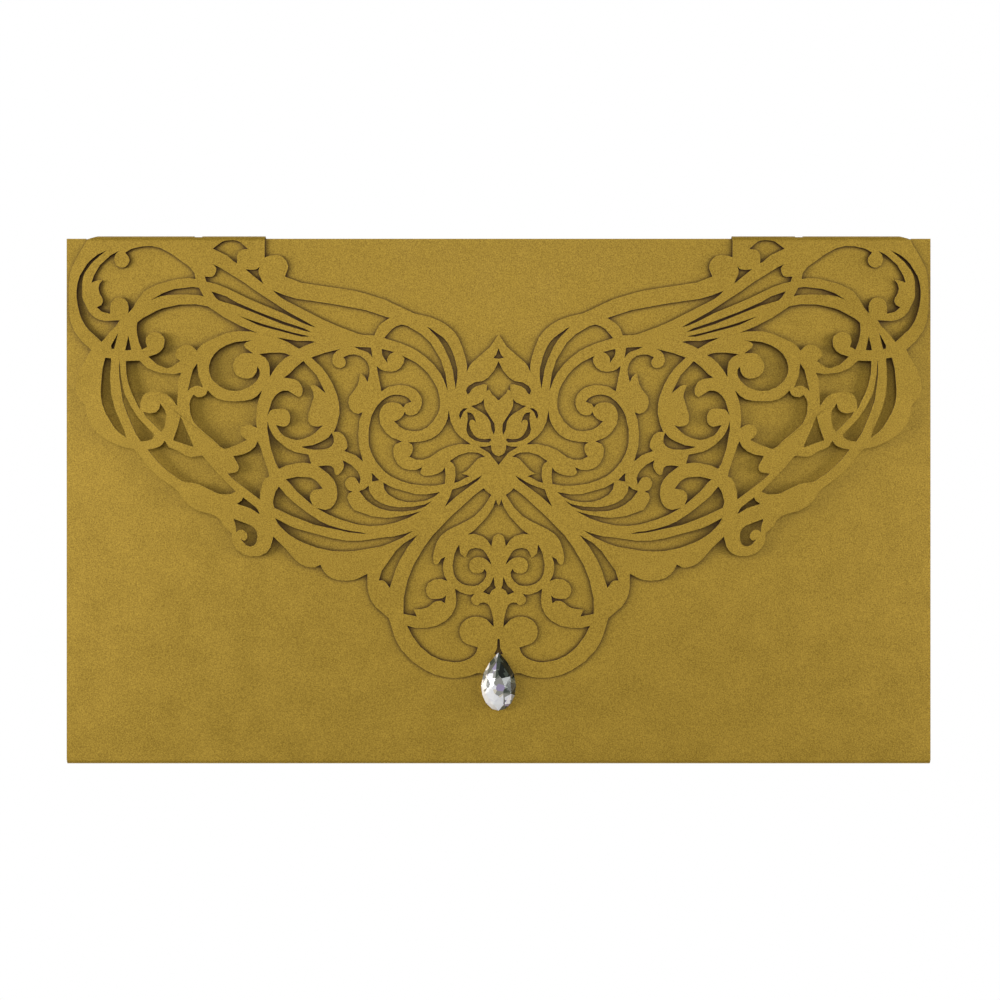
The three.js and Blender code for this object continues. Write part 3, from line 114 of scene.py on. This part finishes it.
# The dark brown of the painted shade and smoke stain
shaded_and_smoked_colour = card_nodes.new("ShaderNodeMix")
shaded_and_smoked_colour.data_type = "RGBA"
shaded_and_smoked_colour.inputs["B"].default_value = (0.048, 0.017, 0.003, 1)
is_flap_level = card_math("GREATER_THAN", card_z, flap_level)
is_upward = card_math("GREATER_THAN", card_facing.outputs[2], steep_face)
is_flap = card_math("MULTIPLY", is_flap_level, card_math("MULTIPLY", is_upward, is_below_roll))
shade_and_stain_amount = card_math("MULTIPLY", painted_shade_and_smoke.outputs[0], card_math("SUBTRACT", 1, is_flap))
card_links.new(shade_and_stain_amount, shaded_and_smoked_colour.inputs["Factor"])
card_links.new(card_ramp.outputs["Color"], shaded_and_smoked_colour.inputs["A"])

# The cut walls' own brown, then the sheen
card_colour = card_nodes.new("ShaderNodeMix")
card_colour.data_type = "RGBA"
card_colour.inputs["B"].default_value = (0.055, 0.024, 0.010, 1)
card_links.new(is_cut, card_colour.inputs["Factor"])
card_links.new(shaded_and_smoked_colour.outputs["Result"], card_colour.inputs["A"])
card_links.new(card_colour.outputs["Result"], card_shader.inputs["Base Color"])
card_links.new(card_math("MULTIPLY_ADD", is_cut, -metal_share, metal_share), card_shader.inputs["Metallic"])
card_roughness = card_math("MULTIPLY_ADD", card_cloud.outputs["Fac"], roughness_spread, smoothest)
card_links.new(card_roughness, card_shader.inputs["Roughness"])

# The flap's gentle spring: its shading follows the smooth bow and not the flat triangles. The lean is the
# slope of the bow, which rises as 3t^2 - 2t^3 both ways, with t from 0 where it starts to 1 where it ends.
across = card_nodes.new("ShaderNodeMapRange")
across.inputs["From Min"].default_value = bow_across[0]
across.inputs["From Max"].default_value = bow_across[1]
card_links.new(card_reach, across.inputs["Value"])
down = card_nodes.new("ShaderNodeMapRange")
down.inputs["From Min"].default_value = bow_down[0]
down.inputs["From Max"].default_value = bow_down[1]
card_links.new(card_math("SUBTRACT", hinge_line, card_y), down.inputs["Value"])
across_rise = card_math("MULTIPLY", card_math("POWER", across.outputs[0], 2),
                        card_math("MULTIPLY_ADD", across.outputs[0], -2, 3))
down_rise = card_math("MULTIPLY", card_math("POWER", down.outputs[0], 2),
                      card_math("MULTIPLY_ADD", down.outputs[0], -2, 3))
across_slope = card_math("MULTIPLY", across.outputs[0], card_math("SUBTRACT", 1, across.outputs[0]))
down_slope = card_math("MULTIPLY", down.outputs[0], card_math("SUBTRACT", 1, down.outputs[0]))
steepest_across = 6 * bow_height / (bow_across[1] - bow_across[0])
steepest_down = 6 * bow_height / (bow_down[1] - bow_down[0])
lean_x = card_math("MULTIPLY", card_math("MULTIPLY", card_math("SIGN", card_x), -steepest_across),
                   card_math("MULTIPLY", across_slope, down_rise))
lean_y = card_math("MULTIPLY", card_math("MULTIPLY", down_slope, steepest_down), across_rise)
flap_normal = card_nodes.new("ShaderNodeCombineXYZ")
card_links.new(lean_x, flap_normal.inputs[0])
card_links.new(lean_y, flap_normal.inputs[1])
flap_normal.inputs[2].default_value = 1
card_normal = card_nodes.new("ShaderNodeMix")
card_normal.data_type = "VECTOR"
card_links.new(is_flap, card_normal.inputs["Factor"])
card_links.new(card_geometry.outputs["Normal"], card_normal.inputs["A"])
card_links.new(flap_normal.outputs[0], card_normal.inputs["B"])
card_unit = card_nodes.new("ShaderNodeVectorMath")
card_unit.operation = "NORMALIZE"
card_links.new(card_normal.outputs["Result"], card_unit.inputs[0])
card_bump = card_nodes.new("ShaderNodeBump")
card_bump.inputs["Strength"].default_value = 0.35
card_bump.inputs["Distance"].default_value = 0.00006
card_links.new(card_grain.outputs["Fac"], card_bump.inputs["Height"])
card_links.new(card_unit.outputs[0], card_bump.inputs["Normal"])
card_links.new(card_bump.outputs["Normal"], card_shader.inputs["Normal"])
put_on(jacket, card_material)

# Insert card: one plain sheet cut from uncoated card, which lies loose in the pocket. It is out of sight,
# so it only has a faint paper grain.
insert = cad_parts["insert_card"]
insert_material, insert_nodes, insert_links, insert_shader = new_finish("insert_paper")

# Two tones in soft clouds, also used for the adhesive
cloudy_tone = bpy.data.node_groups.new("cloudy_tone", "ShaderNodeTree")
for socket_name, direction, kind in (
    ("Place", "INPUT", "NodeSocketVector"),
    ("Clouds", "INPUT", "NodeSocketFloat"),
    ("Dark", "INPUT", "NodeSocketColor"),
    ("Light", "INPUT", "NodeSocketColor"),
    ("Colour", "OUTPUT", "NodeSocketColor"),
    ("Mask", "OUTPUT", "NodeSocketFloat"),
):
    cloudy_tone.interface.new_socket(socket_name, in_out=direction, socket_type=kind)
tone_in = cloudy_tone.nodes.new("NodeGroupInput")
tone_out = cloudy_tone.nodes.new("NodeGroupOutput")
tone_clouds = cloudy_tone.nodes.new("ShaderNodeTexNoise")
tone_mix = cloudy_tone.nodes.new("ShaderNodeMix")
tone_mix.data_type = "RGBA"
cloudy_tone.links.new(tone_in.outputs["Place"], tone_clouds.inputs["Vector"])
cloudy_tone.links.new(tone_in.outputs["Clouds"], tone_clouds.inputs["Scale"])
cloudy_tone.links.new(tone_clouds.outputs["Fac"], tone_mix.inputs["Factor"])
cloudy_tone.links.new(tone_in.outputs["Dark"], tone_mix.inputs["A"])
cloudy_tone.links.new(tone_in.outputs["Light"], tone_mix.inputs["B"])
cloudy_tone.links.new(tone_mix.outputs["Result"], tone_out.inputs["Colour"])
cloudy_tone.links.new(tone_clouds.outputs["Fac"], tone_out.inputs["Mask"])


def add_cloudy_tone(nodes, links, clouds, dark, light):
    place = nodes.new("ShaderNodeTexCoord")
    tone = nodes.new("ShaderNodeGroup")
    tone.node_tree = cloudy_tone
    tone.inputs["Clouds"].default_value = clouds
    tone.inputs["Dark"].default_value = dark
    tone.inputs["Light"].default_value = light
    links.new(place.outputs["Object"], tone.inputs["Place"])
    return tone


insert_tone = add_cloudy_tone(insert_nodes, insert_links, 900, (0.80, 0.76, 0.66, 1), (0.92, 0.90, 0.83, 1))
insert_bump = insert_nodes.new("ShaderNodeBump")
insert_bump.inputs["Distance"].default_value = 0.00003
insert_shader.inputs["Roughness"].default_value = 0.85
insert_links.new(insert_tone.outputs["Colour"], insert_shader.inputs["Base Color"])
insert_links.new(insert_tone.outputs["Mask"], insert_bump.inputs["Height"])
insert_links.new(insert_bump.outputs["Normal"], insert_shader.inputs["Normal"])
put_on(insert, insert_material)

# Adhesive strips: a thin film of dried glue on each side tab, which holds the tab to the front panel. The
# film is off-white and slightly cloudy.
film_material, film_nodes, film_links, film_shader = new_finish("adhesive_film")
film_tone = add_cloudy_tone(film_nodes, film_links, 300, (0.74, 0.71, 0.63, 1), (0.88, 0.86, 0.80, 1))
film_gloss = film_nodes.new("ShaderNodeMapRange")
film_gloss.inputs["To Min"].default_value = 0.45
film_gloss.inputs["To Max"].default_value = 0.7
film_links.new(film_tone.outputs["Mask"], film_gloss.inputs["Value"])
film_links.new(film_tone.outputs["Colour"], film_shader.inputs["Base Color"])
film_links.new(film_gloss.outputs[0], film_shader.inputs["Roughness"])
for strip_name in ("adhesive_strip_left", "adhesive_strip_right"):
    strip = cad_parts[strip_name]
    put_on(strip, film_material)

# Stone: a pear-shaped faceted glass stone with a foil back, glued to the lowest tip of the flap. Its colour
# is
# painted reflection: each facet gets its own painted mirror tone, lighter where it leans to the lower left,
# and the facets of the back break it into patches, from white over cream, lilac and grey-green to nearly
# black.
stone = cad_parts["rhinestone"]
reflection_level = 0.1
facet_reflection_share = 0.3
reflection_patch_share = 0.5
painted_light_side = (-0.36, -0.40, 0.0)
normal_step = 0.031
stone_material, stone_nodes, stone_links, stone_shader = new_finish("foiled_stone")
stone_math = maths_in(stone_nodes, stone_links)
stone_shader.inputs["Metallic"].default_value = 0.3
stone_shader.inputs["Coat Weight"].default_value = 0.3
stone_shader.inputs["Coat Roughness"].default_value = 0.04
stone_geometry = stone_nodes.new("ShaderNodeNewGeometry")
stone_snap = stone_nodes.new("ShaderNodeVectorMath")
stone_snap.operation = "SNAP"
stone_snap.inputs[1].default_value = (normal_step, normal_step, normal_step)
stone_facet = stone_nodes.new("ShaderNodeTexWhiteNoise")
# The painted reflection colours of the facets, from nearly black to white
painted_reflection_ramp = stone_nodes.new("ShaderNodeValToRGB")
painted_reflection_ramp.color_ramp.interpolation = "CONSTANT"
painted_reflection_stops = [
    (0.0, (0.012, 0.016, 0.012, 1)),
    (0.24, (0.07, 0.085, 0.065, 1)),
    (0.36, (0.17, 0.18, 0.15, 1)),
    (0.44, (0.32, 0.32, 0.29, 1)),
    (0.60, (0.36, 0.31, 0.46, 1)),
    (0.625, (0.76, 0.71, 0.58, 1)),
    (0.65, (0.90, 0.90, 0.93, 1)),
    (0.80, (0.98, 0.98, 0.98, 1)),
]
while len(painted_reflection_ramp.color_ramp.elements) < len(painted_reflection_stops):
    painted_reflection_ramp.color_ramp.elements.new(0.5)
for element, (position, colour) in zip(painted_reflection_ramp.color_ramp.elements, painted_reflection_stops):
    element.position = position
    element.color = colour
stone_rough = stone_nodes.new("ShaderNodeMapRange")
stone_rough.inputs["To Min"].default_value = 0.05
stone_rough.inputs["To Max"].default_value = 0.22
stone_links.new(stone_geometry.outputs["True Normal"], stone_snap.inputs[0])
stone_links.new(stone_snap.outputs[0], stone_facet.inputs["Vector"])
# Painted reflection tone: lighter for facets leaning to the lower left, plus painted patches and a random
# tone per facet
facet_light_lean = stone_nodes.new("ShaderNodeVectorMath")
facet_light_lean.operation = "DOT_PRODUCT"
facet_light_lean.inputs[1].default_value = painted_light_side
stone_links.new(stone_geometry.outputs["True Normal"], facet_light_lean.inputs[0])
stone_place = stone_nodes.new("ShaderNodeTexCoord")
painted_reflection_patches = stone_nodes.new("ShaderNodeTexVoronoi")
painted_reflection_patches.inputs["Scale"].default_value = 760
stone_links.new(stone_place.outputs["Object"], painted_reflection_patches.inputs["Vector"])
lit_facet_tone = stone_math("ADD", facet_light_lean.outputs["Value"], reflection_level)
patched_reflection_tone = stone_math("MULTIPLY_ADD", painted_reflection_patches.outputs["Color"], reflection_patch_share, lit_facet_tone)
painted_reflection_tone = stone_math("MULTIPLY_ADD", stone_facet.outputs["Value"], facet_reflection_share, patched_reflection_tone)
stone_links.new(painted_reflection_tone, painted_reflection_ramp.inputs["Fac"])
stone_links.new(painted_reflection_ramp.outputs["Color"], stone_shader.inputs["Base Color"])
stone_links.new(stone_facet.outputs["Value"], stone_rough.inputs["Value"])
stone_links.new(stone_rough.outputs[0], stone_shader.inputs["Roughness"])
put_on(stone, stone_material)

# Glue: the small dot of clear glue that fixes the stone to the flap. It dried with tiny bubbles in it, and
# the stone covers it.
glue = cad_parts["stone_glue"]
glue_material, glue_nodes, glue_links, glue_shader = new_finish("clear_glue")
glue_shader.inputs["Base Color"].default_value = (0.80, 0.80, 0.77, 1)
glue_shader.inputs["Roughness"].default_value = 0.25
glue_place = glue_nodes.new("ShaderNodeTexCoord")
glue_bubbles = glue_nodes.new("ShaderNodeTexVoronoi")
glue_bubbles.inputs["Scale"].default_value = 3000
glue_bump = glue_nodes.new("ShaderNodeBump")
glue_bump.inputs["Distance"].default_value = 0.00002
glue_links.new(glue_place.outputs["Object"], glue_bubbles.inputs["Vector"])
glue_links.new(glue_bubbles.outputs["Distance"], glue_bump.inputs["Height"])
glue_links.new(glue_bump.outputs["Normal"], glue_shader.inputs["Normal"])
put_on(glue, glue_material)

# Floor: the plain white ground that the card lies on, which the camera sees as pure white.
floor_size = 4
floor_gap = 0.00002
bpy.ops.mesh.primitive_plane_add(size=floor_size, location=(0, 0, -floor_gap))
floor = bpy.context.object
floor.name = "floor"
floor_material, floor_nodes, floor_links, floor_shader = new_finish("white_ground")
floor_shader.inputs["Base Color"].default_value = (0.9, 0.9, 0.9, 1)
floor_shader.inputs["Roughness"].default_value = 0.9
floor_glow = floor_nodes.new("ShaderNodeEmission")
floor_glow.inputs["Color"].default_value = (1, 1, 1, 1)
floor_path = floor_nodes.new("ShaderNodeLightPath")
floor_mix = floor_nodes.new("ShaderNodeMixShader")
floor_links.new(floor_path.outputs["Is Camera Ray"], floor_mix.inputs[0])
floor_links.new(floor_shader.outputs[0], floor_mix.inputs[1])
floor_links.new(floor_glow.outputs[0], floor_mix.inputs[2])
floor_links.new(floor_mix.outputs[0], floor_nodes["Material Output"].inputs["Surface"])
put_on(floor, floor_material)

# Light: a low soft box on each side and a small weak one overhead, in a plain pale room.
for box_name, place, watts, width, height in (
    ("left_box", (-0.50, 0.02, 0.24), 3.0, 0.16, 0.40),
    ("right_box", (0.50, 0.00, 0.24), 2.2, 0.16, 0.40),
    ("overhead_box", (0.0, 0.12, 0.60), 0.55, 0.14, 0.14),
):
    lamp_data = bpy.data.lights.new(box_name, "AREA")
    lamp_data.shape = "RECTANGLE"
    lamp_data.size = width
    lamp_data.size_y = height
    lamp_data.energy = watts
    lamp = bpy.data.objects.new(box_name, lamp_data)
    bpy.context.scene.collection.objects.link(lamp)
    lamp.location = place
    lamp.rotation_euler = (-lamp.location).to_track_quat("-Z", "Y").to_euler()
world = bpy.data.worlds.new("pale_room")
bpy.context.scene.world = world
world.use_nodes = True
world_nodes = world.node_tree.nodes
world_links = world.node_tree.links
room_light = world_nodes["Background"]
room_light.inputs["Color"].default_value = (1, 1, 1, 1)
room_light.inputs["Strength"].default_value = 0.215
room_seen = world_nodes.new("ShaderNodeBackground")
room_seen.inputs["Color"].default_value = (1, 1, 1, 1)
room_path = world_nodes.new("ShaderNodeLightPath")
room_mix = world_nodes.new("ShaderNodeMixShader")
world_links.new(room_path.outputs["Is Camera Ray"], room_mix.inputs[0])
world_links.new(room_light.outputs[0], room_mix.inputs[1])
world_links.new(room_seen.outputs[0], room_mix.inputs[2])
world_links.new(room_mix.outputs[0], world_nodes["World Output"].inputs["Surface"])

# Camera: straight above the card, near enough that the cuts' outer walls show. The picture's width is taken
# at the height of the front panel.
camera_height = 0.34
camera_right = 0.00032
front_panel_height = 0.00175
picture_width = 0.2292
sensor_width = 36
camera_data = bpy.data.cameras.new("camera")
camera_data.sensor_width = sensor_width
camera_data.lens = sensor_width * camera_height / picture_width
camera_data.clip_start = 0.01
camera_data.clip_end = 10
camera = bpy.data.objects.new("camera", camera_data)
bpy.context.scene.collection.objects.link(camera)
camera.location = (camera_right, 0, camera_height + front_panel_height)
bpy.context.scene.camera = camera
bpy.context.scene.view_settings.view_transform = "Standard"
